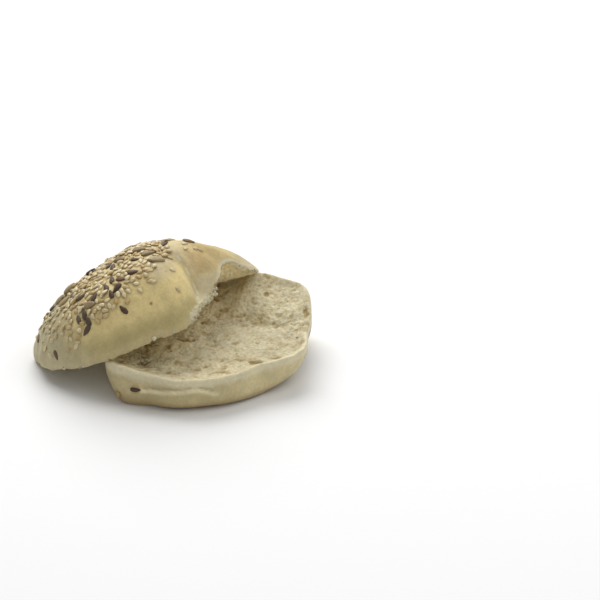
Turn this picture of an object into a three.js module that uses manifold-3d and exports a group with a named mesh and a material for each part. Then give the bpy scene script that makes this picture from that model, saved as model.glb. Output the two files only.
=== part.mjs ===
// A seeded bread roll, cut open and served: the bottom half lies on its flat base with the crumb side up, and the
// top half leans on it, one end on the table. Millimetres, +Z up; the origin is the centre of the floor it covers.
import * as THREE from "three";
import Module from "manifold-3d";

const wasm = await Module();
wasm.setup();

// ---------------------------------------------------------------- sizes
const SECTORS = 80; // columns of each half's surface
const FINEST = 0.08; // smaller steps than this are smoothed away
const TINY = 1e-9; // keeps a power's base from falling below 0
const ORIGIN = [-58.36, -57.6]; // middle of the floor covered, in the frame the two halves are laid out in

const bottom = {
  centre: [-39, -63.5],
  floor: 12.5, // height of the crumb at its middle
  lip: 0.8, // thickness of the crust where it is cut
  flat: { share: 0.64, least: 0.42, low: 16, high: 25 }, // how far out the face is flat, under a low and a high rim
  bend: 0.2, // how softly the flat face turns into the climb to the rim
  fullness: 0.9, // of the side's profile: 1 is a quarter round, less is fuller
  // angle, rim radius, rim height, share of the rim radius that lies on the table
  rim: [
    [0, 43.4, 18, 0.58],
    [20, 47.5, 20.5, 0.76],
    [36, 52.5, 24.8, 0.8],
    [50, 49, 26.3, 0.82],
    [59, 46.5, 27.4, 0.83],
    [67, 45, 27.1, 0.84],
    [73, 45.6, 24.5, 0.83],
    [78, 47.3, 22.6, 0.8],
    [88, 47.6, 20.1, 0.78],
    [105, 45.5, 18.4, 0.8],
    [125, 42, 17.4, 0.84],
    [160, 44, 15.4, 0.84],
    [190, 47, 15, 0.86],
    [212, 53.3, 17.5, 0.9],
    [222, 51.5, 17.5, 0.95],
    [234, 47, 16, 0.9],
    [252, 43.5, 15, 0.86],
    [272, 40, 15, 0.82],
    [292, 36.8, 15, 0.87],
    [312, 36.6, 15.5, 0.87],
    [336, 44.6, 17, 0.48],
  ],
  belly: { from: 225, to: 330, ramp: 30, size: 1.1 }, // the front side swells out over its foot
  // A fold in the crust under the front rim: angle and height on the side, and how it fades above and below.
  fold: {
    line: [
      [222, 0.68],
      [228, 0.74],
      [237, 0.81],
      [246, 0.84],
      [254, 0.87],
      [263, 0.9],
      [268, 0.86],
      [274, 0.8],
      [282, 0.76],
    ],
    ramp: 12,
    above: 0.1,
    below: 0.035,
    depth: 0.7,
  },
};

const top = {
  seat: [-111.5, -67.5, 3.8], // where its low end stands
  tilt: [-0.165, -0.385], // about X and about Y, in radians
  reach: 50, // from the low end to the middle, along its own X
  centre: [0, 13],
  crown: [5.5, -3, 32.5], // its highest point, from the middle
  hollow: 3, // how far the crumb of its underside curves up
  overhang: 1.02, // size of the crust's lower edge, in rim radii
  cut: 0.985, // size of the crumb's edge, in rim radii
  // angle, rim radius, rim height above the cut's plane, profile of the side: 1 a quarter round, more is leaner
  rim: [
    [0, 34.9, 9.3, 1.15],
    [8, 38.7, 9.2, 1.22],
    [14, 42.5, 5.5, 1.3],
    [20, 47, 0, 1.42],
    [32, 53, -4.9, 1.4],
    [50, 46.5, -4.6, 1.25],
    [70, 41, 0, 1.12],
    [90, 40, 3, 1.05],
    [120, 41, 3, 1.05],
    [150, 47, 2, 1.08],
    [180, 58.5, 0.4, 1.06],
    [190, 57.2, 1.9, 1.05],
    [205, 54.5, 1.2, 1.02],
    [220, 49.5, 0.1, 0.96],
    [235, 45.3, -0.5, 0.9],
    [255, 40.6, -0.1, 0.88],
    [275, 38, 0.5, 0.9],
    [295, 37.4, -0.9, 0.92],
    [310, 33.3, 1.2, 0.95],
    [325, 30, 1.3, 1],
    [337, 31.8, 3.2, 1.02],
    [348, 33.7, 6.6, 1.08],
  ],
  crease: { from: [21.2, 3.6], to: [25.2, -7], width: 1.4, depth: 1.4 }, // the fold between its two lobes
};

// Lumps of the dough and the crumb: spacing of the lumps, shortest and longest, and how high they stand.
const crust = { seed: 7, shortest: 14, longest: 34, height: 0.35 };
const crumb = { seed: 19, shortest: 8, longest: 17, height: 0.4 };
const torn = { seed: 31, shortest: 7, longest: 16, height: 0.45 };

const RAISED = 0.06; // how far a seed's middle stands over what it lies on, in seed heights
const CLEAR = 0.35; // room kept from a seed of another kind, in its lengths
const LAST_RING = 0.72; // where the rings nearest to a seed's ends lie, in half lengths
// Seeds: length, width, thickness, how far one end is drawn to a tip, sides and rings of the solid.
const kinds = {
  sunflower: { length: 7.4, width: 3.8, height: 2.4, tip: 0.18, sides: 8, rings: 3 },
  linseed: { length: 5.3, width: 2.5, height: 1.3, tip: 0.35, sides: 6, rings: 2 },
  sesame: { length: 3.1, width: 1.9, height: 1.2, tip: 0.3, sides: 5, rings: 2 },
};

// The larger seeds that lie where everybody sees them: kind, x and y on the top half, heading of the tip.
const placed = [
  ["linseed", -5, -23, 105],
  ["linseed", -43, -15.5, -125],
  ["linseed", -24, -22, -140],
  ["linseed", -22, -20.5, 80],
  ["linseed", -23, -17.5, 75],
  ["linseed", -26.5, -17, 80],
  ["linseed", -16.5, -14.5, 50],
  ["linseed", -23.5, -8, -10],
  ["linseed", -29, 0, 85],
  ["linseed", -5, -16, -130],
  ["linseed", -7, -10.5, 90],
  ["linseed", -10, -13.5, 95],
  ["linseed", -8, -17.5, 95],
  ["linseed", 4.5, -2.5, -30],
  ["linseed", 3, -11, -10],
  ["linseed", -8.5, 3.5, 60],
  ["linseed", -6.5, 0, 85],
  ["linseed", 17, 9.5, 60],
  ["linseed", -19, 12, 10],
  ["linseed", 26.5, 14.5, 0],
  ["linseed", -0.5, 11, 20],
  ["linseed", -41.5, 3.5, 50],
  ["linseed", -51.5, 1, 55],
  ["linseed", -2.5, -12.5, -25],
  ["sunflower", -19, -16, -30],
  ["sunflower", -3, 3.5, -28],
  ["sunflower", 6.5, 6, -10],
  ["sunflower", 10.5, -0.5, 13],
  ["sunflower", 14, -6, 3],
  ["sunflower", -33.5, 1, 10],
];
// The rest are scattered over an oval patch: how many of a kind, how far apart, and beyond which y.
const patch = {
  seed: 5,
  centre: [-17, 6],
  across: [33, 26],
  edge: [0.86, 1], // where its edge thins out, in shares of `across`
  margin: 1.1,
  lowest: 0.12, // no seed lies lower on the side than this
  tries: 6000,
};
const scattered = [
  ["sunflower", 4, 11, 17],
  ["linseed", 9, 7.5, 14],
  ["sesame", 106, 4, -40],
];
// Two seeds on the crust of the bottom half: kind, angle, height on the side, heading from the rim's direction.
const stray = [
  ["linseed", 228.5, 0.73, 8],
  ["sesame", 218.5, 0.47, 60],
];

// ---------------------------------------------------------------- rules
const radians = (degrees) => (degrees * Math.PI) / 180;

function smooth(low, high, x) {
  const t = Math.min(Math.max((x - low) / (high - low), 0), 1);
  return t * t * (3 - 2 * t);
}

// Draws between 0 and 1 that are the same on every run.
function drawing(seed) {
  let state = seed;
  return () => {
    state = (state * 1664525 + 1013904223) % 4294967296;
    return state / 4294967296;
  };
}

// Soft lumps anywhere in space: waves that cross at odd angles.
function lumps({ seed, shortest, longest }) {
  const draw = drawing(seed);
  const waves = Array.from({ length: 9 }, () => {
    const [turn, rise] = [draw() * 2 * Math.PI, 2 * draw() - 1];
    const pitch = (2 * Math.PI) / (shortest + (longest - shortest) * draw());
    const flat = Math.sqrt(1 - rise * rise);
    return [pitch * flat * Math.cos(turn), pitch * flat * Math.sin(turn), pitch * rise, draw() * 2 * Math.PI];
  });
  return ([x, y, z]) =>
    waves.reduce((sum, [a, b, c, phase]) => sum + Math.sin(a * x + b * y + c * z + phase), 0) / 3;
}

const crustLumps = lumps(crust);
const crumbLumps = lumps(crumb);
const tornLumps = lumps(torn);

// One column of a table of stations, at any angle: a smooth closed curve through them.
function around(stations, column, degrees) {
  const n = stations.length;
  const a = ((degrees % 360) + 360) % 360;
  let i = n - 1;
  while (i > 0 && stations[i][0] > a) i -= 1;
  const at = (k) => stations[((k % n) + n) % n][column];
  const angle = (k) => stations[((k % n) + n) % n][0] + 360 * Math.floor(k / n);
  const [a0, a1, a2, a3] = [angle(i - 1), angle(i), angle(i + 1), angle(i + 2)];
  const t = (a - a1) / (a2 - a1);
  const m1 = ((at(i + 1) - at(i - 1)) / (a2 - a0)) * (a2 - a1);
  const m2 = ((at(i + 2) - at(i)) / (a3 - a1)) * (a2 - a1);
  const [t2, t3] = [t * t, t * t * t];
  return (2 * t3 - 3 * t2 + 1) * at(i) + (t3 - 2 * t2 + t) * m1 + (3 * t2 - 2 * t3) * at(i + 1) + (t3 - t2) * m2;
}

const plus = (a, b, share = 1) => a.map((value, i) => value + b[i] * share);
const minus = (a, b) => plus(a, b, -1);
const cross = (a, b) => [a[1] * b[2] - a[2] * b[1], a[2] * b[0] - a[0] * b[2], a[0] * b[1] - a[1] * b[0]];
const unit = (a) => a.map((value) => value / Math.hypot(...a));
const polar = (centre, degrees, radius, z) => [
  centre[0] + radius * Math.cos(radians(degrees)),
  centre[1] + radius * Math.sin(radians(degrees)),
  z,
];

// ---------------------------------------------------------------- bottom half
const bottomRadius = (d) => around(bottom.rim, 1, d);
const bottomHeight = (d) => around(bottom.rim, 2, d);

function foldDepth(d, up) {
  const { line, ramp, above, below, depth } = bottom.fold;
  const [start, end] = [line[0][0], line[line.length - 1][0]];
  const along = smooth(start, start + ramp, d) * (1 - smooth(end - ramp, end, d));
  const over = up - around(line, 1, d);
  return depth * along * Math.exp(-((over / (over > 0 ? above : below)) ** 2));
}

// The crust: from the table (up = 0) to the rim (up = 1).
function bottomWall(d, up) {
  const angle = (up * Math.PI) / 2;
  const foot = around(bottom.rim, 3, d) * bottomRadius(d);
  const r = foot + (bottomRadius(d) - foot) * Math.sin(angle) ** bottom.fullness;
  const z = bottomHeight(d) * (1 - (Math.cos(angle) + TINY) ** bottom.fullness);
  const free = smooth(0, 0.3, up);
  const lump = crust.height * crustLumps(polar(bottom.centre, d, r, z)) * free * (1 - smooth(0.85, 1, up));
  const { from, to, ramp, size } = bottom.belly;
  const belly = size * smooth(from, from + ramp, d) * (1 - smooth(to - ramp, to, d)) * Math.sin(2 * angle) ** 2;
  return polar(bottom.centre, d, r - foldDepth(d, up) + lump + belly, z);
}

// The cut face: from the middle (share = 0) to just inside the rim.
function bottomCrumb(d, share) {
  // The face is flat in the middle and then climbs to the rim, sooner where the rim is high.
  const { share: far, least, low, high } = bottom.flat;
  const start = far - (far - least) * smooth(low, high, bottomHeight(d));
  const climb = Math.max((share - start) / (1 - start), 0);
  const rise = (Math.hypot(climb, bottom.bend) - bottom.bend) / (Math.hypot(1, bottom.bend) - bottom.bend);
  const flat = polar(bottom.centre, d, share * (bottomRadius(d) - bottom.lip), 0);
  const lump = crumb.height * crumbLumps(flat) * (1 - smooth(0.75, 0.97, share));
  return plus(flat, [0, 0, bottom.floor + (bottomHeight(d) - bottom.floor) * rise + lump]);
}

// ---------------------------------------------------------------- top half
const topRadius = (d) => around(top.rim, 1, d);
const topHeight = (d) => around(top.rim, 2, d);

// The fold that runs down between the two lobes, at a place seen from above.
function creaseDepth(x, y) {
  const { from, to, width, depth } = top.crease;
  const run = minus(to, from);
  const length = Math.hypot(...run);
  const along = ((x - from[0]) * run[0] + (y - from[1]) * run[1]) / length / length;
  const aside = ((x - from[0]) * run[1] - (y - from[1]) * run[0]) / length;
  return depth * smooth(-0.15, 0.35, along) * Math.exp(-((aside / width) ** 2));
}

// The crust: from the rim (up = 0) to the crown (up = 1).
function topDome(d, up) {
  const angle = (up * Math.PI) / 2;
  const lean = around(top.rim, 3, d);
  const edge = torn.height * (1 - smooth(0, 0.25, up)) * tornLumps(polar(top.centre, d, topRadius(d), 0));
  const rise = Math.sin(angle) ** lean;
  const r = topRadius(d) * top.overhang * (Math.cos(angle) + TINY) ** lean + edge;
  const shift = Math.sin(angle) ** 2;
  const z = topHeight(d) + (top.crown[2] - topHeight(d)) * rise + edge;
  const point = plus(polar(top.centre, d, r, z), [top.crown[0] * shift, top.crown[1] * shift, 0]);
  const outward = [...polar([0, 0], d, Math.cos(angle)).slice(0, 2), Math.sin(angle)];
  const lump = crust.height * crustLumps(point) * smooth(0, 0.2, up);
  return plus(point, outward, lump - creaseDepth(point[0], point[1]) * smooth(0.02, 0.15, up));
}

// The crumb under it: from the middle (share = 0) to the rim.
function topCrumb(d, share) {
  const drop = smooth(0.4, 0.95, share);
  const edge = torn.height * smooth(0.8, 1, share) * tornLumps(polar(top.centre, d, topRadius(d), 0));
  const flat = polar(top.centre, d, share * topRadius(d) * top.cut + edge, 0);
  const lump = crumb.height * crumbLumps(flat) * (1 - smooth(0.7, 0.95, share));
  return plus(flat, [0, 0, top.hollow + (topHeight(d) - top.hollow) * drop + lump + edge]);
}

// Where the crust lies over a place on the plan: its angle and how far up it is.
function onDome(x, y) {
  let [low, high] = [0.01, 0.999];
  let d = 0;
  for (let step = 0; step < 30; step += 1) {
    const up = (low + high) / 2;
    const shift = Math.sin((up * Math.PI) / 2) ** 2;
    const [dx, dy] = [x - top.centre[0] - top.crown[0] * shift, y - top.centre[1] - top.crown[1] * shift];
    d = (Math.atan2(dy, dx) * 180) / Math.PI;
    const reach = topRadius(d) * top.overhang * Math.cos((up * Math.PI) / 2) ** around(top.rim, 3, d);
    if (Math.hypot(dx, dy) < reach) low = up;
    else high = up;
  }
  return [d, (low + high) / 2];
}

// A point of a surface with the direction straight out of it.
function seatOn(surface, d, up) {
  const aroundIt = minus(surface(d + 1, up), surface(d - 1, up));
  const upIt = minus(surface(d, up + 0.01), surface(d, up - 0.01));
  return { at: surface(d, up), out: unit(cross(aroundIt, upIt)), side: unit(aroundIt) };
}

// ---------------------------------------------------------------- solids
// A closed solid from rings of points, with a point at each end.
function closedRings(start, rings, end) {
  const points = [start, ...rings.flat(), end];
  const faces = [];
  const sectors = rings[0].length;
  const at = (ring, k) => 1 + ring * sectors + (k % sectors);
  for (let k = 0; k < sectors; k += 1) {
    faces.push([0, at(0, k + 1), at(0, k)]);
    for (let r = 0; r + 1 < rings.length; r += 1) {
      faces.push([at(r, k), at(r, k + 1), at(r + 1, k)]);
      faces.push([at(r, k + 1), at(r + 1, k + 1), at(r + 1, k)]);
    }
    faces.push([points.length - 1, at(rings.length - 1, k), at(rings.length - 1, k + 1)]);
  }
  const vertProperties = new Float32Array(points.flat());
  return new wasm.Manifold(new wasm.Mesh({ numProp: 3, vertProperties, triVerts: new Uint32Array(faces.flat()) }));
}

const ringOf = (point) => Array.from({ length: SECTORS }, (_, k) => point((360 * k) / SECTORS));

// A seed: a flattened drop along `ahead`, half sunk where it lies.
function seedSolid(kind, { at, out }, ahead) {
  const { length, width, height, tip, sides, rings } = kinds[kind];
  const across = unit(cross(out, ahead));
  const along = cross(across, out);
  const middle = plus(at, out, RAISED * height);
  const ring = (t) =>
    Array.from({ length: sides }, (_, k) => {
      const turn = (2 * Math.PI * k) / sides;
      const r = Math.sqrt(1 - t * t) * (1 - tip * t);
      const wide = plus(middle, along, (t * length) / 2);
      return plus(plus(wide, across, (r * Math.cos(turn) * width) / 2), out, (r * Math.sin(turn) * height) / 2);
    });
  const stops = Array.from({ length: rings }, (_, i) => LAST_RING * ((2 * i) / (rings - 1) - 1));
  return closedRings(plus(middle, along, -length / 2), stops.map(ring), plus(middle, along, length / 2));
}

const ahead = (heading) => [Math.cos(radians(heading)), Math.sin(radians(heading)), 0];

function topSeeds() {
  const draw = drawing(patch.seed);
  const seeds = placed.map(([kind, x, y, heading]) => ({ kind, heading, ...seatOn(topDome, ...onDome(x, y)) }));
  for (const [kind, count, apart, nearest] of scattered) {
    let left = count;
    for (let attempt = 0; attempt < patch.tries && left > 0; attempt += 1) {
      const [u, v, chance, heading] = [2 * draw() - 1, 2 * draw() - 1, draw(), 360 * draw()];
      const inside = 1 - smooth(...patch.edge, Math.hypot(u, v) / patch.margin);
      if (chance > inside) continue;
      const [x, y] = [u, v].map((share, i) => patch.centre[i] + patch.across[i] * patch.margin * share);
      if (y < nearest) continue;
      const [d, up] = onDome(x, y);
      if (up < patch.lowest) continue;
      const seat = seatOn(topDome, d, up);
      const room = (other) => apart / 2 + (other.kind === kind ? apart / 2 : kinds[other.kind].length * CLEAR);
      if (seeds.some((other) => Math.hypot(...minus(other.at, seat.at)) < room(other))) continue;
      seeds.push({ kind, heading, ...seat });
      left -= 1;
    }
  }
  return seeds;
}

function bottomSolid() {
  const rings = [0.35, 0.7].map((share) =>
    ringOf((d) => polar(bottom.centre, d, share * around(bottom.rim, 3, d) * bottomRadius(d), 0)),
  );
  const WALL = 8;
  for (let i = 0; i <= WALL; i += 1) rings.push(ringOf((d) => bottomWall(d, i / WALL)));
  const CRUMB = 11;
  for (let i = CRUMB - 1; i >= 1; i -= 1) rings.push(ringOf((d) => bottomCrumb(d, i / CRUMB)));
  const body = closedRings([...bottom.centre, 0], rings, bottomCrumb(0, 0));
  const seeds = stray.map(([kind, d, up, turn]) => {
    const seat = seatOn(bottomWall, d, up);
    const above = cross(seat.out, seat.side);
    const heading = plus(seat.side.map((v) => v * Math.cos(radians(turn))), above, Math.sin(radians(turn)));
    return seedSolid(kind, seat, heading);
  });
  return wasm.Manifold.union([body, ...seeds]).simplify(FINEST);
}

function topSolid() {
  const UNDER = 8;
  const DOME = 14;
  const rings = [];
  for (let i = 1; i <= UNDER; i += 1) rings.push(ringOf((d) => topCrumb(d, i / UNDER)));
  for (let i = 1; i < DOME; i += 1) rings.push(ringOf((d) => topDome(d, i / DOME)));
  const body = closedRings(topCrumb(0, 0), rings, topDome(0, 1));
  const seeds = topSeeds().map((seed) => seedSolid(seed.kind, seed, ahead(seed.heading)));
  return wasm.Manifold.union([body, ...seeds]).simplify(FINEST);
}

// Where the top half stands, as a matrix.
function topFrame() {
  const turn = new THREE.Matrix4().makeRotationX(top.tilt[0]);
  turn.multiply(new THREE.Matrix4().makeRotationY(top.tilt[1]));
  const middle = new THREE.Vector3(top.reach, 0, 0).applyMatrix4(turn).add(new THREE.Vector3(...top.seat));
  return turn.setPosition(middle);
}

function mesh(name, solid, colour) {
  const made = solid.getMesh();
  const geometry = new THREE.BufferGeometry();
  geometry.setAttribute("position", new THREE.BufferAttribute(new Float32Array(made.vertProperties), 3));
  geometry.setIndex(Array.from(made.triVerts));
  const material = new THREE.MeshStandardMaterial({ color: colour, roughness: 0.8, metalness: 0 });
  const piece = new THREE.Mesh(geometry, material);
  piece.name = name;
  return piece;
}

const roll = new THREE.Group();
roll.position.set(-ORIGIN[0], -ORIGIN[1], 0);
roll.add(mesh("bottom_half", bottomSolid(), 0xcdb98a));
// The low end of the top half is pressed flat where it meets the table.
roll.add(mesh("top_half", topSolid().transform(topFrame().elements).trimByPlane([0, 0, 1], 0), 0xc9a667));

export default roll;
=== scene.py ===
"""A seeded bread roll, cut open: the bottom half lies crumb side up, the seeded top half leans on its rim.

The two halves follow the same rims, walls and seed places as the CAD solids, with the finer forms of real
bread worked into the mesh: torn crumb with its cells, ragged cut edges, crust wrinkles and every seed.
Sizes are in millimetres and angles in degrees. The bottom half is made where it lies in a layout of its own,
the top half round its own middle; top_frame() lays it in the layout, and mesh_piece() turns that into metres.
"""
from math import cos, hypot, pi, radians, sin, sqrt, tan
import bpy
import numpy as np
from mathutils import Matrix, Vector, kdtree


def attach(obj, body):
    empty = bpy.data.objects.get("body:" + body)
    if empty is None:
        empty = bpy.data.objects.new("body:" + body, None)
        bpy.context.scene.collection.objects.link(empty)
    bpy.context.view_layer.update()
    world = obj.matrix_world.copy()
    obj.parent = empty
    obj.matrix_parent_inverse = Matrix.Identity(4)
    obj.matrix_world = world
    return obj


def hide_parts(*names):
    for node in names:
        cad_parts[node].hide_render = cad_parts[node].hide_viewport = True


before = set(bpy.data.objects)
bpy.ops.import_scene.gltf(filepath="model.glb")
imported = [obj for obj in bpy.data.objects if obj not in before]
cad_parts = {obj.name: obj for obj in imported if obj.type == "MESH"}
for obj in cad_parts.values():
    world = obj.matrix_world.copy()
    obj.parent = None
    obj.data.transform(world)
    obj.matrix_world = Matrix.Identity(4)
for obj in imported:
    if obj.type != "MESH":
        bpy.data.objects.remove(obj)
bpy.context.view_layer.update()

# ------------ sizes
ORIGIN = (-58.36, -57.6)  # the place in the layout that comes to x = 0 and y = 0
MM = 0.001
FINE = {"bottom": 140, "top": 126}  # rings of triangles from the middle of a cut face to its rim
WALL_ROWS = 28  # rows of triangles from the rim of the bottom half to the table
BASE_RINGS = (0.75, 0.5, 0.25)  # rings of its flat base, as shares of its foot
SOFT_LIP = {"share": 0.7, "times": 40}  # how much and how often the cut edge of its crust is softened

BOTTOM = {
    "centre": (-39, -63.5),
    "floor": 12.5,  # height of the crumb at its middle
    "lip": 0.8,  # thickness of the crust where it is cut
    "bend": 0.2,  # how softly the flat face turns into the climb to the rim
    "round": 0.9,  # how round the side is: 1 is an ellipse
    # angle, rim radius, rim height, share of the rim radius that lies on the table
    "rim": (
        (0, 43.4, 18, 0.58), (20, 47.5, 20.5, 0.76), (36, 52.5, 24.8, 0.8),
        (50, 49, 26.3, 0.82), (59, 46.5, 27.4, 0.83), (67, 45, 27.1, 0.84),
        (73, 45.6, 24.5, 0.83), (78, 47.3, 22.6, 0.8), (88, 47.6, 20.1, 0.78),
        (105, 45.5, 18.4, 0.8), (125, 42, 17.4, 0.84), (160, 44, 15.4, 0.84),
        (190, 47, 15, 0.86), (212, 53.3, 17.5, 0.9), (222, 51.5, 17.5, 0.95),
        (234, 47, 16, 0.9), (252, 43.5, 15, 0.86), (272, 40, 15, 0.82),
        (292, 36.8, 15, 0.87), (312, 36.6, 15.5, 0.87), (336, 44.6, 17, 0.48),
    ),
    "belly": ((1.1, 240, 315, 15),),  # the front side swells out over its foot, on this stretch
    # a fold in the crust under the front rim: angle and height on the side, and how it fades above and below
    "fold": {
        "line": (
            (222, 0.68), (228, 0.74), (237, 0.81), (246, 0.84), (254, 0.87),
            (263, 0.9), (268, 0.86), (274, 0.8), (282, 0.76),
        ),
        "ramp": 12,
        "above": 0.1,
        "below": 0.035,
        "depth": 0.7,
    },
}
TOP = {
    "seat": (-111.5, -67.5, 3.8),  # where its low end stands
    "tilt": (-0.165, -0.385),  # about X and about Y, in radians
    "reach": 50,  # from the low end to the middle, along its own X
    "centre": (0, 13),
    "crown": (5.5, -3, 32.5),  # its highest point, from the middle
    "hollow": 3,  # how far the crumb of its underside curves up
    "overhang": 1.02,  # the crust at the rim and the crumb below it, as shares of the rim radius
    "inset": 0.985,
    # angle, rim radius, rim height above the cut's plane, profile of the side
    "rim": (
        (0, 34.9, 9.3, 1.15), (8, 38.7, 9.2, 1.22), (14, 42.5, 5.5, 1.3),
        (20, 47, 0, 1.42), (32, 53, -4.9, 1.4), (50, 46.5, -4.6, 1.25),
        (70, 41, 0, 1.12), (90, 40, 3, 1.05), (120, 41, 3, 1.05),
        (150, 47, 2, 1.08), (180, 58.5, 0.4, 1.06), (190, 57.2, 1.9, 1.05),
        (205, 54.5, 1.2, 1.02), (220, 49.5, 0.1, 0.96), (235, 45.3, -0.5, 0.9),
        (255, 40.6, -0.1, 0.88), (275, 38, 0.5, 0.9), (295, 37.4, -0.9, 0.92),
        (310, 33.3, 1.2, 0.95), (325, 30, 1.3, 1), (337, 31.8, 3.2, 1.02),
        (348, 33.7, 6.6, 1.08),
    ),
    "crease": {"start": (21.2, 3.6), "end": (25.2, -7), "width": 1.4, "depth": 1.4},
}

# Stretches of a rim: how much, from which angle to which, and how softly it ends.
REAR = ((1, -4, 92, 10),)  # the crumb of the bottom half runs up to the edge
RIGHT_SIDE = ((1, 285, 410, 18),)  # its wall is lighter there
RIGHT_END = ((1, 345, 380, 15),)  # and darker there
ARCH = ((1, -16, 36, 6),)  # the arched opening of the top half
ARCH_BOUNCE_LIGHT = ((1, -17.5, 52.5, 7.5),)  # the crumb seen through it is painted warmer, as warm bounce light in its shade
FRAYED = ((1, 301, 347, 4), (1, 24, 84, 8))  # crumb shows on the edge of the crust
RAGGED = ((0.6, 240, 300, 8), (1.8, 300, 346, 6), (0.9, 10, 95, 8))  # the edge goes up and down
SHAGGY = ((1, 301, 347, 4), (0.45, 244, 301, 6))  # it goes in and out
SHREDS = ((1.5, 16, 70, 8),)  # it hangs down in shreds, where the halves were torn apart last
CRUMBLED = ((1.2, 302, 342, 5), (0.5, 24, 62, 6))  # loose bits of crumb hang on it

# Lumps of the dough and the crumb: spacing of the lumps, shortest and longest, and how high they stand.
CRUST = {"seed": 7, "shortest": 14, "longest": 34, "height": 0.35}
CRUMB = {"seed": 19, "shortest": 8, "longest": 17, "height": 0.4}
TORN = {"seed": 31, "shortest": 7, "longest": 16, "height": 0.45}

# Uneven forms and colours are layers of noise: how strong, how large, and where its numbers start.
GRAIN = {
    "bend": ((1, 1.5, 21), (0.5, 0.8, 24)),
    "crumb": ((0.26, 4.2, 24), (0.28, 1.9, 25), (0.27, 1.1, 26), (0.15, 0.65, 28)),
    "crust": ((0.1, 6, 41), (0.06, 2.4, 42), (0.045, 1.1, 43)),
    "tip": ((0.3, 3.2, 44),),
    "lip": ((0.3, 3.4, 51), (0.12, 1.3, 52)),
    "ragged": ((0.5, 2.4, 53), (0.45, 1.1, 54)),
    "cut": ((0.025, 2.5, 55), (0.015, 1.2, 56)),
    "hollow": ((0.3, 1.5, 61),),
    "golden": ((1, 9, 71), (0.5, 3.5, 78)),
    "clusters": ((0.16, 9, 72), (0.3, 4.2, 89), (0.24, 2.2, 80)),
    "mottled": ((0.05, 5, 73), (0.065, 1.7, 74), (0.04, 0.8, 75)),
    "foot": ((1.2, 6, 76),),
    "lip line": ((0.03, 3, 77),),
    "dusted": ((1, 1.8, 79),),
    "bit": ((0.42, 0.6, 81),),
    "streak": ((0.5, 2.6, 82),),
    "ridge": ((0.8, 3, 83),),
    "frayed": ((0.03, 3, 84), (0.015, 1.2, 85)),
    "painted_bounce": ((0.35, 2.6, 86),),
    "tufts": ((0.85, 2.4, 87), (0.5, 1.2, 88)),
    "torn": ((2, 5, 90),),
    "seed": ((1, 1.3, 91),),
    "wall": ((0.05, 11, 92), (0.04, 3.2, 93)),
    "shreds": ((1, 3, 94),),
}
LAYERED = (0.8, 0.9, 1.25)  # torn crumb lies in flat layers: its grain is this much finer along each axis

# Open cells of the crumb: spacing, smallest and largest radius, depth for each millimetre of radius.
CELLS = (
    {"seed": 101, "apart": 1.4, "radii": (0, 0.85), "depth": 0.3},
    {"seed": 102, "apart": 2.8, "radii": (0, 1.4), "depth": 0.42},
    {"seed": 103, "apart": 6.5, "radii": (0, 2.4), "depth": 0.35},
)
# The larger cells of the open face: x and y from the middle, length, width, depth, heading.
HOLLOWS = (
    (19.2, -19.6, 7.6, 6.8, 1.5, -14), (23.2, 29.7, 3.6, 3, 0.8, 0), (41.6, 13.8, 10, 2.6, 1.1, 98),
    (35.2, 14.6, 3.6, 2.6, 0.5, 70), (37.3, 3.3, 3, 2.2, 0.4, 20), (9.6, -1.9, 4, 3.2, 0.5, 30),
    (-6.7, -29.2, 4, 1.8, 0.7, 24), (-3, -22.6, 3.2, 1.8, 0.4, 10), (3.9, 27.8, 6, 3.4, 0.5, -10),
    (11.2, 21.6, 6.5, 3, 0.5, 5), (-30, -20, 7, 4, 1.1, 35),
)

# The ridge across the open face, with a raised ledge before it that is painted lighter as a painted
# highlight: x and y from the middle. Layers lie behind it, lower and painted darker as painted shade.
RIDGE = ((-12, 15), (-1, 13.8), (11.5, 13.5), (25.2, 12.3), (34.3, 5.1), (41.8, -2.9))

# The open face is torn most to the left of this line, and painted in shade there, where the top half shades
# it: y and x from the middle.
TORN_AND_SHADED_SIDE = ((-20, -30), (-14, -22), (-8, -14), (1, -8), (15, -3), (28.7, 2))

# Seeds and bits of crumb: `tip` is how far one end is drawn to a point, `sides` and `rings` are of the mesh,
# `brown` is how much browner some are than others, and `coat` how much flour lies on them.
KINDS = {
    kind: dict(zip(("length", "width", "height", "tip", "sides", "rings", "uneven", "brown", "coat"), row))
    for kind, *row in (
        ("sunflower", 7.4, 3.8, 2.4, 0.18, 28, 17, 0.11, 1.15, 0.7),
        ("linseed", 5.3, 2.5, 1.3, 0.35, 16, 11, 0.11, 0.3, 0.35),
        ("sesame", 3.1, 1.9, 1.2, 0.3, 12, 8, 0.06, 1.15, 0.7),
        ("flake", 4.8, 2.8, 0.7, 0.1, 16, 9, 0.11, 1.15, 0.7),
        ("bit", 1, 0.85, 0.75, 0.1, 7, 5, 0, 0, 0),
    )
}
SEED_SIZE = {"least": 0.86, "more": 0.26, "toasted": 1.25}  # as shares of the size of the kind
# Loose bits of crumb: how many, the smallest and the largest, and where their draws start.
BITS = {
    "bottom_crumbs": {"count": 150, "sizes": (0.6, 1.8), "seed": 11},
    "top_crumbs": {"count": 200, "sizes": (0.5, 1.9), "seed": 12},
    "sunk": 0.12,  # how deep they sit, as a share of their size
}
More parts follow.
